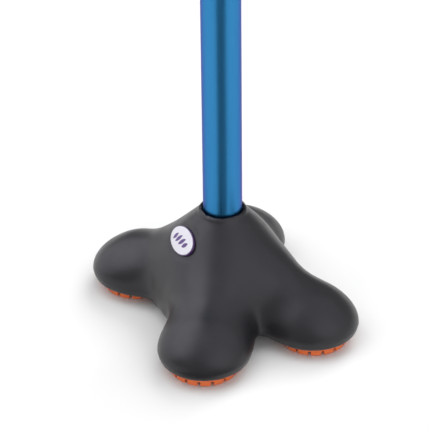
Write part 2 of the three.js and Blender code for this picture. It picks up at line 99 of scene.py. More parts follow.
def carve(obj, cutter, sharp=40):
    """Cuts cutter out of obj, and removes cutter."""
    modifier = obj.modifiers.new("carve", "BOOLEAN")
    modifier.object = cutter
    modifier.solver = "EXACT"
    depsgraph = bpy.context.evaluated_depsgraph_get()
    mesh = bpy.data.meshes.new_from_object(obj.evaluated_get(depsgraph))
    obj.modifiers.clear()
    mesh.shade_smooth()
    mesh.set_sharp_from_angle(angle=math.radians(sharp))
    obj.data = mesh
    bpy.data.objects.remove(cutter)
    return obj


def fillet(corners, segments=5):
    """A profile of [radius, z, fillet] corners, closed on itself, with each corner rounded."""
    rounded = []
    count = len(corners)
    for i, (r, z, radius) in enumerate(corners):
        here = np.array([r, z])
        if radius <= 0:
            rounded.append(here)
            continue
        before = np.array(corners[i - 1][:2]) - here
        after = np.array(corners[(i + 1) % count][:2]) - here
        before /= np.linalg.norm(before)
        after /= np.linalg.norm(after)
        half = math.acos(np.clip(before @ after, -1, 1)) / 2
        start = here + before * radius / math.tan(half)
        end = here + after * radius / math.tan(half)
        bisector = before + after
        centre = here + bisector / np.linalg.norm(bisector) * radius / math.sin(half)
        a, b = start - centre, end - centre
        swing = math.acos(np.clip(a @ b / radius**2, -1, 1))
        for step in range(segments + 1):
            t = step / segments
            mix = (math.sin((1 - t) * swing) * a + math.sin(t * swing) * b) / math.sin(swing)
            rounded.append(centre + mix)
    return np.array(rounded)


def spin(profile, sides):
    """Turns a profile round the axis: its points as a grid of rings by sides, and the sides' angles."""
    angle = np.arange(sides) * 2 * math.pi / sides
    points = np.stack([
        profile[:, :1] * np.cos(angle),
        profile[:, :1] * np.sin(angle),
        np.repeat(profile[:, 1:], sides, 1),
    ], -1)
    return points, angle


def lathe_faces(rings, sides, closed):
    """Faces of a turned surface, as a grid of rings by sides."""
    faces = []
    for i in range(rings if closed else rings - 1):
        a, b = i * sides, ((i + 1) % rings) * sides
        for j in range(sides):
            k = (j + 1) % sides
            faces.append((a + j, a + k, b + k, b + j))
    return faces


def turned(name, corners, sides=96, sharp=35, matrix=None, shape=None):
    """A turned ring of material: corners go anticlockwise in the half plane of radius and z. shape
    can move its points, given as (points, angle)."""
    profile = fillet(corners)
    points, angle = spin(profile, sides)
    if shape is not None:
        points = shape(points, angle)
    faces = lathe_faces(len(profile), sides, True)
    return add_object(name, points.reshape(-1, 3), faces, sharp, matrix)


def capped(name, corners, sides=64, sharp=35, matrix=None):
    """A turned solid whose profile starts and ends on the axis."""
    near_axis = 0.02
    ends = [(near_axis, corner[1], 0) for corner in (corners[0], corners[-1])]
    profile = fillet([ends[0], *corners[1:-1], ends[1]])
    points = spin(profile, sides)[0].reshape(-1, 3)
    faces = lathe_faces(len(profile), sides, False)
    last = (len(profile) - 1) * sides
    faces.append(tuple(range(sides - 1, -1, -1)))
    faces.append(tuple(range(last, last + sides)))
    return add_object(name, points, faces, sharp, matrix)


def cylinder_between(start, end, radius, sides=48):
    """A plain rod, used to cut holes."""
    axis = Vector(end) - Vector(start)
    turn = axis.to_track_quat("Z", "Y").to_matrix().to_4x4()
    turn.translation = Vector(start)
    corners = [(0, 0, 0), (radius, 0, 0), (radius, axis.length, 0), (0, axis.length, 0)]
    return capped("cutter", corners, sides, matrix=turn)


# ---- the base's form, as a distance field: negative inside ----
def smooth_min(a, b, width):
    """The smaller of two fields, with a fillet about width wide where they meet."""
    h = np.clip(0.5 + 0.5 * (b - a) / width, 0, 1)
    return b + (a - b) * h - width * h * (1 - h)


def smooth_max(a, b, width):
    return -smooth_min(-a, -b, width)


def round_cone(p, a, b, radius_a, radius_b):
    """Two balls of different sizes and the cone that wraps them."""
    axis = b - a
    length2 = axis @ axis
    taper = radius_a - radius_b
    slope = length2 - taper * taper
    from_a = p - a
    along = from_a @ axis
    beyond = along - length2
    across2 = ((from_a * length2 - np.outer(along, axis)) ** 2).sum(1)
    limit = np.sign(taper) * taper * taper * across2
    side = (np.sqrt(across2 * slope / length2) + along * taper) / length2 - radius_a
    near_a = np.sqrt(across2 + along * along * length2) / length2 - radius_a
    near_b = np.sqrt(across2 + beyond * beyond * length2) / length2 - radius_b
    d = np.where(np.sign(along) * slope * along * along * length2 < limit, near_a, side)
    return np.where(np.sign(beyond) * slope * beyond * beyond * length2 > limit, near_b, d)


def ellipsoid(p, centre, radii):
    """A close estimate of the distance to an ellipsoid."""
    q = (p - centre) / radii
    scaled = np.sqrt((q**2).sum(1))
    gradient = np.sqrt(((q / radii) ** 2).sum(1))
    return scaled * (scaled - 1) / np.maximum(gradient, 1e-9)


def outer_field(p):
    """The moulding's outside, with its arch and soles, before anything is cut into it."""
    d = round_cone(p, COLUMN_LOW, COLUMN_HIGH, COLUMN_LOW_RADIUS, COLUMN_HIGH_RADIUS)
    for x, y in FEET.values():
        inner = np.array([x * LEG_INNER_SHARE, y * LEG_INNER_SHARE, LEG_INNER_Z])
        outer = np.array([x * LEG_OUTER_SHARE, y * LEG_OUTER_SHARE, LEG_OUTER_Z])
        d = smooth_min(d, round_cone(p, inner, outer, LEG_INNER_RADIUS, LEG_OUTER_RADIUS), LEG_BLEND)
    for x, y in FEET.values():
        d = smooth_min(d, ellipsoid(p, np.array([x, y, FOOT_CENTRE_Z]), FOOT_RADII), FOOT_BLEND)
    d = smooth_min(d, np.hypot(p[:, 0], p[:, 1]) - LIP_RADIUS, LIP_BLEND)
    d = smooth_max(d, p[:, 2] - LIP_Z, RIM_BLEND)
    d = smooth_max(d, -ellipsoid(p, ARCH_CENTRE, ARCH_RADII), ARCH_BLEND)
    return smooth_max(d, SOLE_Z - p[:, 2], SOLE_BLEND)


def slopes(field, p, h=0.02):
    """The field's gradient at each point."""
    return np.stack([(field(p + h * e) - field(p - h * e)) / (2 * h) for e in np.eye(3)], 1)


def drop_onto(field, p, steps=3):
    """Moves points along the gradient onto the field's surface."""
    for _ in range(steps):
        slope = slopes(field, p)
        p = p - slope * (field(p) / np.maximum((slope**2).sum(1), 0.1))[:, None]
    return p


badge_centre = drop_onto(outer_field, np.array([[0.0, BADGE_Y, BADGE_Z]]), 6)
badge_out = Vector(slopes(outer_field, badge_centre)[0]).normalized()
badge_level = Vector((0, 0, 1)).cross(badge_out).normalized()
badge_up = badge_out.cross(badge_level)
badge_matrix = Matrix((badge_level, badge_up, badge_out)).transposed().to_4x4()
badge_matrix.translation = Vector(badge_centre[0])


def base_field(p):
    """The whole moulding: its outside with a parting line low on the feet, its socket, the holes for the
    treads' studs and the badge's dimple."""
    radius, z = np.hypot(p[:, 0], p[:, 1]), p[:, 2]
    mouth = np.maximum(radius - MOUTH_RADIUS, SOCKET_FLOOR_Z - z)
    chamber_ends = np.maximum(SOCKET_FLOOR_Z - z, z - SOCKET_TOP_Z - GAP)
    chamber = np.maximum(radius - SLEEVE_RADIUS - GAP, chamber_ends)
    below = np.clip((FOOT_CENTRE_Z + 0.6 - z) / 1.2, 0, 1)
    step_in = PARTING_STEP * below * below * (3 - 2 * below) * (z < 20)
    d = smooth_max(outer_field(p) + step_in, -mouth, MOUTH_BLEND)
    d = np.maximum(d, -chamber)
    for x, y in FEET.values():
        hole = np.hypot(p[:, 0] - x, p[:, 1] - y) - STUD_RADIUS - GAP
        d = np.maximum(d, -np.maximum(hole, z - SOLE_Z - STUD_LENGTH - GAP))
    local = (p - badge_centre) @ np.array(badge_matrix.to_3x3())
    across = local[:, 0] / (BADGE_HALF_WIDTH + DIMPLE_MARGIN)
    along = local[:, 1] / (BADGE_HALF_HEIGHT + DIMPLE_MARGIN)
    dimple = np.maximum((np.hypot(across, along) - 1) * BADGE_HALF_HEIGHT, -DIMPLE_DEPTH - local[:, 2])
    return smooth_max(d, -np.maximum(dimple, local[:, 2] - 6), DIMPLE_BLEND)


def surface_net(field, low, high, cell):
    """The surface where a field is zero: a vertex in each cell that it crosses, and a square across each
    edge that it crosses."""
    axes = [np.arange(a, b, cell) for a, b in zip(low, high)]
    nodes = np.stack(np.meshgrid(*axes, indexing="ij"), -1)
    shape = np.array(nodes.shape[:3])
    values = np.concatenate([field(block.reshape(-1, 3)) for block in nodes]).reshape(shape)
    strides = np.array([shape[1] * shape[2], shape[2], 1])
    total = np.zeros((shape.prod(), 3))
    count = np.zeros(shape.prod())
    quads = []
    for axis in range(3):
        near = [slice(1, -1)] * 3
        far = list(near)
        far[axis] = slice(2, None)
        a, b = values[tuple(near)], values[tuple(far)]
        crossed = np.argwhere((a < 0) != (b < 0))
        va, vb = a[tuple(crossed.T)], b[tuple(crossed.T)]
        index = crossed + 1
        point = np.array(low) + index * cell
        point[:, axis] += cell * va / (va - vb)
        u, v = np.eye(3, dtype=int)[[(axis + 1) % 3, (axis + 2) % 3]]
        cells = np.stack([(index - step) @ strides for step in (0 * u, u, u + v, v)], 1)
        for column in cells.T:
            np.add.at(total, column, point)
            np.add.at(count, column, 1)
        quads.append(np.where((va < 0)[:, None], cells, cells[:, ::-1]))
    quads = np.concatenate(quads)
    used, quads = np.unique(quads, return_inverse=True)
    return total[used] / count[used][:, None], quads.reshape(-1, 4)


def relax(field, points, quads, rounds):
    """Evens out a net's vertices, keeping them on the field's surface."""
    edges = np.concatenate([quads[:, [i, (i + 1) % 4]] for i in range(4)])
    for _ in range(rounds):
        total = np.zeros_like(points)
        np.add.at(total, edges[:, 0], points[edges[:, 1]])
        np.add.at(total, edges[:, 1], points[edges[:, 0]])
        degree = np.bincount(edges.ravel(), minlength=len(points))[:, None]
        points = drop_onto(field, 0.4 * points + 0.6 * total / degree, 1)
    return drop_onto(field, points, 2)


def oval_prism(name, half_width, half_height, low, high, sides=96):
    """A plain oval prism in the badge's own frame."""
    angle = np.arange(sides) * 2 * math.pi / sides
    outline = np.stack([half_width * np.cos(angle), half_height * np.sin(angle)], 1)
    points = np.concatenate([np.c_[outline, np.full(sides, z)] for z in (low, high)])
    faces = lathe_faces(2, sides, False)
    faces += [tuple(range(sides - 1, -1, -1)), tuple(range(sides, 2 * sides))]
    return add_object(name, points, faces, 30, badge_matrix)


cell = 1.0
reach = np.array([FOOT_X + FOOT_RADII[0], FOOT_Y + FOOT_RADII[1]]) + 3 * cell
net_points, net_quads = surface_net(
    base_field,
    (-reach[0], -reach[1], SOLE_Z - 3 * cell),
    (reach[0], reach[1], LIP_Z + 3 * cell),
    cell,
)
net_points = relax(base_field, net_points, net_quads, 4)
base = add_object("base_moulding", net_points, net_quads, 50)
carve(base, oval_prism("cutter", BADGE_HALF_WIDTH + 0.25, BADGE_HALF_HEIGHT + 0.25, -1.4, 8), 50)


# ---- the treads ----
def tread_points():
    """A castellated disc as a polar grid: round it, columns crowd at the slots' edges."""
    top = SOLE_Z - GAP
    round_start = TREAD_RADIUS - SOLE_ROUND
    half = SLOT_WIDTH / 2
    offsets = half * np.array([-1.45, -1.2, -1.0, -0.8, 0, 0.8, 1.0, 1.2, 1.45])
    block = np.linspace(0, 1, 9)[1:-1]
    bottom = [(r, 0.0) for r in np.linspace(PAD_RADIUS - 1, round_start, 12)]
    corner = [
        (round_start + SOLE_ROUND * math.sin(t), SOLE_ROUND * (1 - math.cos(t)))
        for t in np.linspace(0, math.pi / 2, 6)[1:]
    ]
    wall = [(TREAD_RADIUS, z) for z in np.linspace(0.9, top - 0.3, 5)]
    shoulder = [(TREAD_RADIUS - 0.3, top), (STUD_RADIUS + 0.3, top), (STUD_RADIUS, top + 0.3)]
    stud_top = top + STUD_LENGTH
    stud = [(STUD_RADIUS, stud_top - 0.6), (STUD_RADIUS - 0.6, stud_top), (0.05, stud_top)]
    profile = [(0.05, 0.0), (4.0, 0.0), (PAD_RADIUS - 2, 0.0)] + bottom + corner + wall + shoulder + stud
    rows = []
    for radius, z in profile:
        angles, depths = [], []
        slot_here = np.clip((radius - PAD_RADIUS) / 0.5, 0, 1) * (z < top - 0.2)
        reach_angle = offsets[-1] / max(radius, PAD_RADIUS)
        for k in range(TREAD_SLOTS):
            middle = (k + 0.5) * 2 * math.pi / TREAD_SLOTS
            angles += list(middle + offsets / max(radius, PAD_RADIUS))
            edge = np.clip((1.25 * half - np.abs(offsets)) / (0.3 * half), 0, 1)
            depths += list(edge * edge * (3 - 2 * edge))
            angles += list(middle + reach_angle + block * (2 * math.pi / TREAD_SLOTS - 2 * reach_angle))
            depths += [0.0] * len(block)
        angles, depths = np.array(angles), np.array(depths) * slot_here * SLOT_DEPTH
        height = z + depths * max(0.0, 1 - z / top)
        rows.append(np.stack([radius * np.cos(angles), radius * np.sin(angles), height], 1))
    return np.array(rows)


tread_grid = tread_points()
tread_rings, tread_sides = tread_grid.shape[:2]
tread_faces = lathe_faces(tread_rings, tread_sides, False)
tread_faces.append(tuple(range(tread_sides - 1, -1, -1)))
tread_faces.append(tuple(range((tread_rings - 1) * tread_sides, tread_rings * tread_sides)))
treads = {}
for foot, (x, y) in FEET.items():
    shifted = tread_grid.reshape(-1, 3) + np.array([x, y, 0])
    treads[foot] = add_object(f"tread_{foot}_rubber", shifted, tread_faces, 50)


# ---- the badge ----
def oval_button(name, half_width, half_height, low, high, edge, crown, sides=96, rings=14):
    """An oval piece with a rounded edge and a face that domes up by crown."""
    angle = np.arange(sides) * 2 * math.pi / sides
    rows = [(1.0, low, 0.0)]
    if high - edge > low + 0.001:
        rows.append((1.0, high - edge, 0.0))
    for t in np.linspace(0.25, 1.5, 5):
        rows.append((1.0, high - edge + edge * math.sin(t), edge * (1 - math.cos(t))))
    rows += [(s, high, edge * s) for s in np.linspace(0.97, 0.02, rings)]
    points = []
    for share, z, inset in rows:
        lift = crown * (1 - share**2) if z >= high - edge else 0
        for a in angle:
            x = (half_width * share - inset) * math.cos(a)
            y = (half_height * share - inset) * math.sin(a)
            points.append((x, y, z + lift))
    faces = lathe_faces(len(rows), sides, False)
    last = (len(rows) - 1) * sides
    faces += [tuple(range(sides - 1, -1, -1)), tuple(range(last, last + sides))]
    return add_object(name, points, faces, 50, badge_matrix)


plate_top = -0.1
badge_plate = oval_button("badge_plate_oval", BADGE_HALF_WIDTH, BADGE_HALF_HEIGHT, -1.1, plate_top, 0.35, 0)
dome_low = plate_top + 0.02
dome_high = plate_top + 0.32
dome_crown = 0.55
dome_width, dome_height = BADGE_HALF_WIDTH - 0.45, BADGE_HALF_HEIGHT - 0.45
badge_dome = oval_button("badge_dome_oval", dome_width, dome_height, dome_low, dome_high, 0.3, dome_crown)


def dome_surface(x, y):
    """The height of the badge's face."""
    return dome_high + dome_crown * (1 - (x / dome_width) ** 2 - (y / dome_height) ** 2)


def mark_patch(name, outline):
    """A thin printed shape that lies on the badge's dome: rings of its outline, shrunk to its middle."""
    outline = np.array(outline)
    middle = outline.mean(0)
    rows = [middle + (outline - middle) * share for share in (1, 0.75, 0.5, 0.25, 0.05)]
    flat = np.concatenate(rows)
    points = np.c_[flat, dome_surface(flat[:, 0], flat[:, 1]) + 0.03]
    faces = lathe_faces(len(rows), len(outline), False)
    last = (len(rows) - 1) * len(outline)
    faces.append(tuple(range(last, last + len(outline))))
    return add_object(name, points, faces, None, badge_matrix)


def leaf(x, y, length, width, turn, steps=16):
    """The outline of a plain almond shape."""
    t = np.linspace(-1, 1, steps)
    upper = np.stack([t * length / 2, (1 - t**2) * width / 2], 1)
    lower = np.stack([t[1:-1][::-1] * length / 2, -(1 - t[1:-1][::-1] ** 2) * width / 2], 1)
    outline = np.concatenate([upper[::-1], lower[::-1]])
    c, s = math.cos(turn), math.sin(turn)
    return outline @ np.array([[c, s], [-s, c]]) + np.array([x, y])


# ---- the shaft ----
def ring_corners(inner, outer, low, high, edge=0.3):
    """The profile of a plain ring with rounded edges."""
    return [(inner, low, edge), (outer, low, edge), (outer, high, edge), (inner, high, edge)]


lower_tube = turned(
    "lower_tube_anodised",
    ring_corners(LOWER_RADIUS - TUBE_WALL, LOWER_RADIUS, LOWER_BOTTOM_Z, LOWER_TOP_Z),
)
carve(lower_tube, cylinder_between((0, -5, BUTTON_Z), (0, -12, BUTTON_Z), HOLE_RADIUS))


def handle_path():
    """Points and headings along the upper tube: up the shaft, forwards, and back into the grip."""
    neck_rise = NECK_LENGTH * math.cos(NECK_LEAN)
    bend_rise = LOWER_BEND_RADIUS * math.sin(NECK_LEAN) + UPPER_BEND_RADIUS * (math.sin(NECK_LEAN) + 1)
    points, headings = [np.array([0.0, UPPER_BOTTOM_Z])], [0.0]

    def straight(length, steps):
        heading = headings[-1]
        for _ in range(steps):
            step = np.array([math.sin(heading), math.cos(heading)]) * length / steps
            points.append(points[-1] + step)
            headings.append(heading)

    def bend(turn, radius, steps):
        start, first = points[-1], headings[-1]
        signed = math.copysign(radius, turn)
        for i in range(1, steps + 1):
            now = first + turn * i / steps
            sideways = math.cos(first) - math.cos(now)
            upwards = math.sin(now) - math.sin(first)
            points.append(start + signed * np.array([sideways, upwards]))
            headings.append(now)

    straight(GRIP_Z - neck_rise - bend_rise - UPPER_BOTTOM_Z, 34)
    bend(NECK_LEAN, LOWER_BEND_RADIUS, 24)
    straight(NECK_LENGTH, 5)
    bend(-NECK_LEAN - math.pi / 2, UPPER_BEND_RADIUS, 60)
    front = points[-1][0] - 3
    back = front - RING_LENGTH - GAP - GRIP_LENGTH
    straight(points[-1][0] - back - GAP, 6)
    return np.array(points), np.array(headings), front, back


path_points, path_headings, ring_front_x, grip_back_x = handle_path()
grip_front_x = grip_back_x + GRIP_LENGTH


def swept_tube(name, outer, inner, sides=96, edge=0.3):
    """The upper tube: an outer and an inner skin along the path, joined by rounded ends."""
    angle = np.arange(sides) * 2 * math.pi / sides
    rows = []

    def ring(i, radius, slide=0.0):
        heading = path_headings[i]
        x, z = path_points[i] + slide * np.array([math.sin(heading), math.cos(heading)])
        across = radius * np.cos(angle)
        rows.append(np.stack([
            x + across * math.cos(heading),
            radius * np.sin(angle),
            z - across * math.sin(heading),
        ], 1))

    last = len(path_points) - 1
    ring(0, outer - edge, 0)
    ring(0, outer, edge)
    for i in range(1, last):
        ring(i, outer)
    ring(last, outer, -edge)
    ring(last, outer - edge)
    ring(last, inner + edge)
    ring(last, inner, -edge)
    for i in range(last - 1, 0, -1):
        ring(i, inner)
    ring(0, inner, edge)
    ring(0, inner + edge)
    return add_object(name, np.concatenate(rows), lathe_faces(len(rows), sides, True), 35)


upper_tube = swept_tube("upper_tube_anodised", UPPER_RADIUS, UPPER_RADIUS - TUBE_WALL)
for step in range(-HOLES_EACH_WAY, HOLES_EACH_WAY + 1):
    hole_z = BUTTON_Z + step * HOLE_PITCH
    carve(upper_tube, cylinder_between((0, -5, hole_z), (0, -14, hole_z), HOLE_RADIUS))

flip = Matrix.Rotation(math.pi / 2, 4, "X")
flip.translation = Vector((0, 0, BUTTON_Z))
button = capped("snap_button_steel", [
    (0, FLANGE_Y - 1, 0),
    (FLANGE_RADIUS, FLANGE_Y - 1, 0.2),
    (FLANGE_RADIUS, FLANGE_Y, 0.2),
    (BUTTON_RADIUS, FLANGE_Y, 0.1),
    (BUTTON_RADIUS, BUTTON_TIP_Y - 0.9, 0.7),
    (BUTTON_RADIUS - 1.5, BUTTON_TIP_Y - 0.08, 1.5),
    (0, BUTTON_TIP_Y, 0),
], matrix=flip)

collar_inner = UPPER_RADIUS + GAP
collar_outer = collar_inner + COLLAR_WALL
finger_radius = LOWER_RADIUS + GAP
finger_z = UPPER_BOTTOM_Z - COLLAR_FINGERS
collar_top_z = UPPER_BOTTOM_Z + COLLAR_GRIP
ferrule = turned("collar_ferrule_nylon", [
    (finger_radius, finger_z, 0.3),
    (collar_outer - 1.2, finger_z, 0.4),
    (collar_outer, finger_z + 5, 0.5),
    (collar_outer, collar_top_z, 0.5),
    (collar_inner, collar_top_z, 0.3),
    (collar_inner, UPPER_BOTTOM_Z - GAP, 0.1),
    (finger_radius, UPPER_BOTTOM_Z - GAP, 0.2),
])

nut_inner = collar_outer + GAP
nut_outer = nut_inner + NUT_WALL
wiper_top_z = finger_z - GAP
nut_floor_z = wiper_top_z - WIPER_THICKNESS - GAP
nut_bottom_z = nut_floor_z - NUT_LIP
nut_top_z = collar_top_z + 1


def flute(points, angle):
    """Shallow finger flutes round the nut, fading out at its ends."""
    radius = np.hypot(points[..., 0], points[..., 1])
    z = points[..., 2]
    fade = np.clip(np.minimum(z - nut_bottom_z - 3.5, nut_top_z - 3.5 - z) / 2.5, 0, 1)
    fade = fade * fade * (3 - 2 * fade)
    wave = np.clip(np.cos(NUT_FLUTES * angle) * 1.6 - 0.6, 0, 1)
    depth = 0.95 * wave * wave * (3 - 2 * wave) * fade * (radius > nut_outer - 0.2)
    scale = (radius - depth) / np.maximum(radius, 1e-6)
    return np.stack([points[..., 0] * scale, points[..., 1] * scale, z], -1)


flute_rows = np.linspace(nut_bottom_z + 3, nut_top_z - 3, 16)
lock_nut = turned("lock_nut_plastic", [
    (finger_radius, nut_bottom_z, 0.4),
    (nut_outer - 1.5, nut_bottom_z, 0.6),
    (nut_outer, nut_bottom_z + 1.5, 0.8),
    *[(nut_outer, z, 0) for z in flute_rows],
    (nut_outer, nut_top_z - 2.5, 0.8),
    (nut_inner + 1, nut_top_z, 0.4),
    (nut_inner, nut_top_z, 0.2),
    (nut_inner, nut_floor_z, 0.2),
    (finger_radius, nut_floor_z, 0.2),
], sides=240, shape=flute)

# ---- the handle ----
to_grip = Matrix.Rotation(-math.pi / 2, 4, "Y")


def on_grip(x):
    """Lays a turned piece along the grip, with its start at x and its length running back."""
    placed = to_grip.copy()
    placed.translation = Vector((x, 0, GRIP_Z))
    return placed


def grip_corners():
    """The grip's outside: a gentle swell with a rolled end at each side and a band of fine ribs."""
    corners = [(UPPER_RADIUS + GAP, 0, 0.4), (GRIP_RADIUS - 2.4, 0, 1.6)]
    for s in np.linspace(0.03, 0.97, 189):
        swell = GRIP_SWELL * math.sin(math.pi * s) ** 2
        ribs = 0.0
        for middle in (0.16, 0.84):
            if abs(s - middle) < 0.075:
                wave = math.cos((s - middle) * 2 * math.pi / 0.03)
                ribs = 0.35 * max(0.0, wave)
        corners.append((GRIP_RADIUS + swell - ribs, s * GRIP_LENGTH, 0))
    corners += [(GRIP_RADIUS - 2.4, GRIP_LENGTH, 1.6), (UPPER_RADIUS + GAP, GRIP_LENGTH, 0.4)]
    return corners


hand_grip = turned("hand_grip_rubber", grip_corners(), sides=120, matrix=on_grip(grip_front_x))
grip_ring = turned("grip_front_ring_plastic", [
    (UPPER_RADIUS + GAP, 0, 0.3),
    (GRIP_RADIUS - 2.6, 0, 0.6),
    (GRIP_RADIUS - 1.2, 1.4, 0.6),
    (GRIP_RADIUS - 1.2, RING_LENGTH, 0.3),
    (UPPER_RADIUS + GAP, RING_LENGTH, 0.3),
], matrix=on_grip(ring_front_x))
end_cap = capped("grip_end_cap_plastic", [
    (0, -CAP_SPIGOT, 0),
    (UPPER_RADIUS - TUBE_WALL - 0.4, -CAP_SPIGOT, 0.5),
    (UPPER_RADIUS - TUBE_WALL - 0.4, GAP, 0.2),
    (GRIP_RADIUS - 2, GAP, 0.3),
    (GRIP_RADIUS - 2, CAP_LENGTH - 2.4, 1.2),
    (GRIP_RADIUS - 4.4, CAP_LENGTH - 0.6, 1.5),
    (5, CAP_LENGTH - 0.2, 3),
    (0, CAP_LENGTH, 0),
], sides=96, matrix=on_grip(grip_back_x))


# ---- materials ----
class Shader:
    """A Principled material whose textures follow the object's own coordinates."""

    def __init__(self, name, color, roughness, metallic=0.0, **sockets):
        self.material = bpy.data.materials.new(name)
        self.material.use_nodes = True
        self.nodes = self.material.node_tree.nodes
        self.links = self.material.node_tree.links
        self.shader = self.nodes["Principled BSDF"]
        self.position = self.nodes.new("ShaderNodeTexCoord").outputs["Object"]
        self.color = color
        self.set("Base Color", (*color, 1))
        self.set("Roughness", roughness)
        self.set("Metallic", metallic)
        for socket, value in sockets.items():
            self.set(socket.replace("_", " "), value)

    def set(self, socket, value):
        self.shader.inputs[socket].default_value = value

    def noise(self, scale, detail=2.0, stretch=(1, 1, 1)):
        mapping = self.nodes.new("ShaderNodeMapping")
        mapping.inputs["Scale"].default_value = stretch
        self.links.new(self.position, mapping.inputs["Vector"])
        noise = self.nodes.new("ShaderNodeTexNoise")
        noise.inputs["Scale"].default_value = scale
        noise.inputs["Detail"].default_value = detail
        self.links.new(mapping.outputs["Vector"], noise.inputs["Vector"])
        return noise.outputs["Fac"]

    def cells(self, scale):
        voronoi = self.nodes.new("ShaderNodeTexVoronoi")
        voronoi.feature = "SMOOTH_F1"
        voronoi.inputs["Scale"].default_value = scale
        self.links.new(self.position, voronoi.inputs["Vector"])
        return voronoi.outputs["Distance"]

    def remap(self, value, low, high, start=0.3, end=0.7):
        node = self.nodes.new("ShaderNodeMapRange")
        node.inputs["From Min"].default_value = start
        node.inputs["From Max"].default_value = end
        node.inputs["To Min"].default_value = low
        node.inputs["To Max"].default_value = high
        self.links.new(value, node.inputs["Value"])
        return node.outputs["Result"]

    def vary_roughness(self, value, low, high):
        self.links.new(self.remap(value, low, high), self.shader.inputs["Roughness"])
        return self

    def vary_color(self, value, other):
        """The colour drifts to other where the value is high."""
        mix = self.nodes.new("ShaderNodeMix")
        mix.data_type = "RGBA"
        mix.inputs["A"].default_value = (*self.color, 1)
        mix.inputs["B"].default_value = (*other, 1)
        self.links.new(self.remap(value, 0, 1), mix.inputs["Factor"])
        self.links.new(mix.outputs["Result"], self.shader.inputs["Base Color"])
        return self

    def bump(self, value, height):
        """Raises the surface by up to height metres."""
        bump = self.nodes.new("ShaderNodeBump")
        bump.inputs["Strength"].default_value = 1
        bump.inputs["Distance"].default_value = height
        self.links.new(value, bump.inputs["Height"])
        before = self.shader.inputs["Normal"]
        if before.is_linked:
            self.links.new(before.links[0].from_socket, bump.inputs["Normal"])
        self.links.new(bump.outputs["Normal"], before)
        return self


rubber = Shader("satin_rubber", (0.0125, 0.0125, 0.0150), 0.34, Specular_IOR_Level=0.4)
rubber.vary_color(rubber.noise(90, 3), (0.0150, 0.0150, 0.0175))
rubber.vary_roughness(rubber.noise(160, 4), 0.30, 0.38)
rubber.bump(rubber.noise(2600, 2), 0.000025)
rubber.bump(rubber.noise(45, 2), 0.00012)

orange = Shader("orange_rubber", (0.93, 0.20, 0.055), 0.55)
orange.vary_color(orange.noise(300, 3), (0.88, 0.175, 0.045))
orange.bump(orange.noise(2400, 2), 0.00003)

plate_purple = Shader("purple_plastic", (0.055, 0.02, 0.10), 0.28, Coat_Weight=0.3)
plate_purple.vary_roughness(plate_purple.noise(700, 3), 0.22, 0.36)
plate_purple.bump(plate_purple.noise(1800, 2), 0.000008)

dome_white = Shader("domed_white", (0.74, 0.72, 0.80), 0.12, Coat_Weight=1.0, Coat_Roughness=0.04)
dome_white.vary_color(dome_white.noise(120, 2), (0.78, 0.77, 0.83))
dome_white.bump(dome_white.noise(260, 2), 0.000012)

ink = Shader("purple_ink", (0.07, 0.02, 0.16), 0.4, Coat_Weight=0.3, Coat_Roughness=0.1)
ink.vary_color(ink.noise(1500, 2), (0.09, 0.03, 0.20))

anodised = Shader(
    "blue_anodised", (0.040, 0.240, 0.51), 0.3, 1.0,
    Specular_Tint=(0.6, 0.35, 0.6, 1), Anisotropic=0.25,
)
anodised.vary_color(anodised.noise(60, 2, (1, 1, 0.1)), (0.036, 0.225, 0.48))
anodised.vary_roughness(anodised.noise(900, 3, (1, 1, 0.02)), 0.27, 0.36)
anodised.bump(anodised.noise(3200, 2, (1, 1, 0.015)), 0.000006)

steel = Shader("brushed_steel", (0.60, 0.61, 0.63), 0.28, 1.0)
steel.vary_roughness(steel.noise(1400, 3, (1, 1, 0.1)), 0.22, 0.38)
steel.bump(steel.noise(3000, 2, (0.1, 1, 1)), 0.000006)

nylon = Shader("natural_nylon", (0.56, 0.55, 0.50), 0.45, Subsurface_Weight=0.1)
nylon.vary_roughness(nylon.noise(500, 3), 0.4, 0.55)
nylon.bump(nylon.noise(1500, 2), 0.00001)

plastic = Shader("black_textured_plastic", (0.018, 0.018, 0.02), 0.42)
plastic.vary_roughness(plastic.noise(700, 3), 0.36, 0.5)
plastic.bump(plastic.cells(1700), 0.00003)

seal = Shader("seal_rubber", (0.02, 0.02, 0.021), 0.6)
seal.vary_roughness(seal.noise(600, 3), 0.55, 0.7)
seal.bump(seal.noise(1800, 2), 0.00002)

grip_skin = Shader("grip_rubber", (0.022, 0.022, 0.024), 0.62)
grip_skin.vary_color(grip_skin.noise(70, 3), (0.028, 0.028, 0.03))
grip_skin.vary_roughness(grip_skin.noise(300, 3), 0.55, 0.72)
grip_skin.bump(grip_skin.cells(850), 0.00012)
grip_skin.bump(grip_skin.noise(2600, 2), 0.00003)

# ---- the badge's mark: a plain sprig of four leaves, one for each foot ----
marks = [
    mark_patch(f"badge_mark_{i}", leaf(x, y, length, 2.2, turn))
    for i, (x, y, length, turn) in enumerate([
        (-5.2, -0.3, 4.6, 1.15),
        (-1.9, 0.0, 5.8, 1.05),
        (1.6, 0.0, 5.8, 0.95),
        (4.9, -0.3, 4.6, 0.85),
    ])
]
for mark in marks:
    mark.parent = badge_dome


# ---- what rides on what ----
def place(obj, body, shader, slot, *nodes):
    """Gives a piece its material and body, and hides the CAD nodes that it stands in for. slot is not used.
    """
    obj.data.materials.clear()
    obj.data.materials.append(shader.material)
    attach(obj, body)
    if nodes:
        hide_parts(*nodes)


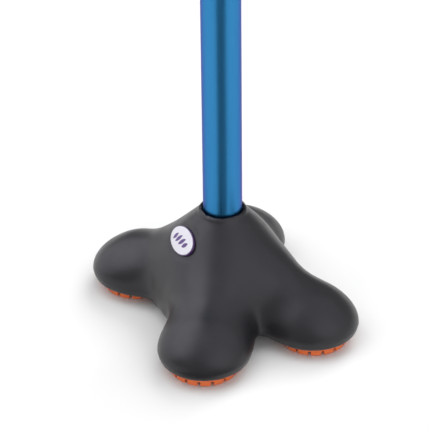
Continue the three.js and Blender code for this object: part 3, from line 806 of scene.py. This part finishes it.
place(base, "base", rubber, "base_rubber", "base_body")
for foot, tread in treads.items():
    place(tread, "base", orange, "tread_rubber", f"tread_{foot}")
place(badge_plate, "base", plate_purple, "badge_plate", "badge_plate")
place(badge_dome, "base", dome_white, "badge_dome", "badge_dome")
for mark in marks:
    mark.data.materials.append(ink.material)
place(lower_tube, "base", anodised, "anodised_tube", "lower_tube")
place(button, "snap_button", steel, "steel", "snap_button")
place(upper_tube, "upper_shaft", anodised, "anodised_tube", "upper_tube")
place(ferrule, "upper_shaft", nylon, "nylon", "collar_ferrule")
place(lock_nut, "lock_nut", plastic, "black_plastic", "lock_nut")
place(hand_grip, "upper_shaft", grip_skin, "grip_rubber", "hand_grip")
place(grip_ring, "upper_shaft", plastic, "black_plastic", "grip_front_ring")
place(end_cap, "upper_shaft", plastic, "black_plastic", "grip_end_cap")
carried = {
    "socket_sleeve": nylon,
    "socket_washer": steel,
    "lower_tube_bush": nylon,
    "snap_spring": steel,
    "collar_wiper_ring": seal,
}
for node, shader in carried.items():
    for material_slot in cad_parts[node].material_slots:
        material_slot.material = shader.material

# ---- the stage: a pale floor, soft lights and the camera ----
floor_corners = np.array([[-1, -1, 0], [1, -1, 0], [1, 1, 0], [-1, 1, 0]]) * 6000.0
floor = add_object("floor", floor_corners, [(0, 1, 2, 3)])
floor.location.z = -0.0002
floor_paint = Shader("pale_floor", (0.9, 0.9, 0.9), 0.9, Specular_IOR_Level=0.1)
floor_paint.vary_roughness(floor_paint.noise(3, 2), 0.85, 0.95)
floor.data.materials.append(floor_paint.material)

wall_sides, wall_radius, wall_height = 96, 5800, 6000
wall_points = spin(np.array([[wall_radius, 0], [wall_radius, wall_height]]), wall_sides)[0]
wall = add_object("pale_wall", wall_points.reshape(-1, 3), lathe_faces(2, wall_sides, False))
wall.data.materials.append(floor_paint.material)
for ray in ("diffuse", "glossy", "shadow"):
    setattr(wall, f"visible_{ray}", False)

AZIMUTH, ELEVATION = math.radians(65.664), math.radians(31.567)
ROLL = Matrix.Rotation(math.radians(-0.669), 3, "Z").to_quaternion()
to_right = Vector((math.cos(AZIMUTH), math.sin(AZIMUTH), 0))
to_front = Vector((math.sin(AZIMUTH), -math.cos(AZIMUTH), 0))
camera_data = bpy.data.cameras.new("camera")
camera_data.sensor_width = 36
camera_data.lens = 191.4
camera_data.clip_start = 0.01
camera_data.clip_end = 50
camera = bpy.data.objects.new("camera", camera_data)
bpy.context.collection.objects.link(camera)
camera.location = (0.85877, -0.39249, 0.63461)
facing = to_front * math.cos(ELEVATION) + Vector((0, 0, math.sin(ELEVATION)))
camera.rotation_euler = (facing.to_track_quat("Z", "Y") @ ROLL).to_euler()
bpy.context.scene.camera = camera

COOL_WHITE = (0.97, 0.945, 1.04)


def sky_panel(name, right, front, up, strength, width, glossy=True, diffuse=True):
    """A soft light so far away that it falls alike on the foot and the handle. right, front and up say
    where it stands as the camera sees it, and width is in degrees."""
    data = bpy.data.lights.new(name, "SUN")
    data.energy = strength
    data.angle = math.radians(width)
    data.color = (1, 1, 1) if diffuse else COOL_WHITE
    light = bpy.data.objects.new(name, data)
    bpy.context.collection.objects.link(light)
    towards = to_right * right + to_front * front + Vector((0, 0, up))
    light.location = towards * 2
    light.rotation_euler = towards.to_track_quat("Z", "Y").to_euler()
    light.visible_glossy = glossy
    light.visible_diffuse = diffuse
    return light


# two soft boxes with their spill, seen only in reflections: one to the left and behind, one to the
# right and in front
sky_panel("left_box", -0.755, -0.290, 0.588, 1.35, 75, diffuse=False)
sky_panel("left_box_top", -0.571, -0.050, 0.819, 0.75, 60, diffuse=False)
sky_panel("left_spill", -0.755, -0.290, 0.588, 0.4, 120, diffuse=False)
sky_panel("right_box", 0.612, 0.354, 0.707, 0.8, 90, diffuse=False)
sky_panel("right_box_low", 0.612, 0.612, 0.500, 0.25, 50, diffuse=False)
sky_panel("right_spill", 0.527, 0.586, 0.616, 0.65, 165, diffuse=False)
# wide panels for the light and the shadows
sky_panel("wide_left", -0.45, 0.10, 0.88, 1.3, 60, glossy=False)
sky_panel("wide_right", 0.45, 0.10, 0.88, 1.0, 60, glossy=False)
sky_panel("wide_back", 0.35, -0.65, 0.68, 1.1, 36, glossy=False)
sky_panel("wide_front", 0.10, 0.95, 0.28, 1.1, 70, glossy=False)

# a dark card on the floor, seen only in reflections, gives the polished tube its dark middle
half_angle = math.radians(26)
card_columns = 9
card_points = [
    list((to_front * math.cos(turn) + to_right * math.sin(turn)) * distance)
    for distance in (75, 1400)
    for turn in np.linspace(-half_angle, half_angle, card_columns)
]
card_faces = [(i, i + 1, i + 1 + card_columns, i + card_columns) for i in range(card_columns - 1)]
card = add_object("dark_card", card_points, card_faces)
card.location.z = 0.0002
felt = Shader("grey_felt", (0.22, 0.22, 0.22), 0.9, Specular_IOR_Level=0.05)
felt.vary_roughness(felt.noise(30, 2), 0.85, 0.95)
card.data.materials.append(felt.material)
card.visible_camera = False
card.visible_diffuse = False
card.visible_shadow = False

world = bpy.data.worlds.new("studio")
world.use_nodes = True
world.node_tree.nodes["Background"].inputs["Color"].default_value = (1, 1, 1, 1)
world.node_tree.nodes["Background"].inputs["Strength"].default_value = 0.2
bpy.context.scene.world = world
bpy.context.scene.view_settings.view_transform = "Standard"
